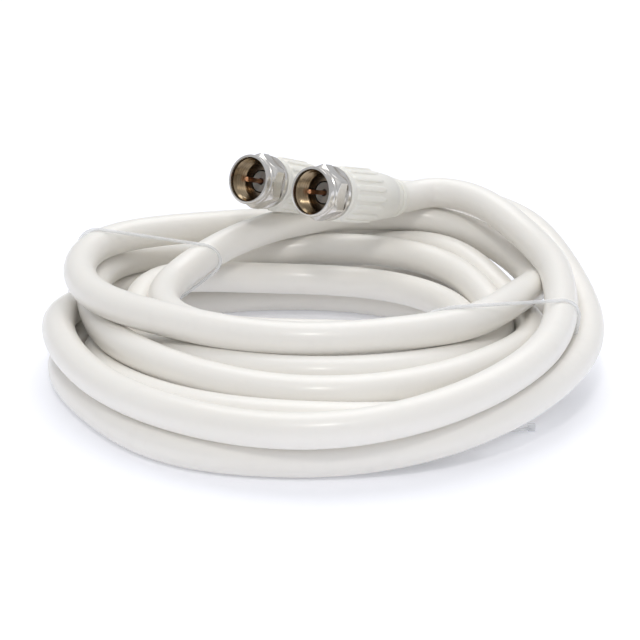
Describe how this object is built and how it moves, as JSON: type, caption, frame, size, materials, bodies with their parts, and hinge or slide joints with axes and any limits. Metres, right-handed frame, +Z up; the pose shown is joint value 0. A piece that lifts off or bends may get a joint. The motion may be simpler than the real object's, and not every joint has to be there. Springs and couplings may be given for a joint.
{
  "type": "coaxial cable coil",
  "caption": "Loose round coil of white coaxial cable lying flat, held by thin ties, with a screw-on connector and moulded boot on each end.",
  "frame": {"origin": "under the middle of the whole object's box, on the plane that the coil lies on", "axes": "+Z up along the coil's axis; the two connectors lie on top at the +Y side, with their mouths facing -X, -Y and a little up"},
  "size_m": [0.1228, 0.131, 0.0395],
  "materials": {
    "jacket": "satin white PVC jacket",
    "boot": "ivory moulded plastic, slightly translucent",
    "post": "nickel plated",
    "nut": "nickel plated, turned",
    "dielectric": "white foamed plastic",
    "conductor": "bare copper-clad wire",
    "tie": "clear nylon"
  },
  "bodies": {
    "root": {"cable_coil": "jacket", "cable_tail_a": "jacket", "cable_tail_b": "jacket", "boot_a": "boot", "boot_b": "boot", "post_a": "post", "post_b": "post", "dielectric_a": "dielectric", "dielectric_b": "dielectric", "conductor_a": "conductor", "conductor_b": "conductor", "tie_left": "tie", "tie_right": "tie"},
    "nut_a": {"nut_a": "nut"},
    "nut_b": {"nut_b": "nut"}
  },
  "joints": [
    {"name": "nut_a_spin", "type": "hinge", "parent": "root", "child": "nut_a", "pos_m": [-0.0024, 0.01931, 0.034], "axis": [0.6156, 0.7495, -0.2436], "continuous": true},
    {"name": "nut_b_spin", "type": "hinge", "parent": "root", "child": "nut_b", "pos_m": [-0.0163, 0.02901, 0.0343], "axis": [0.5895, 0.7491, -0.3024], "continuous": true}
  ]
}
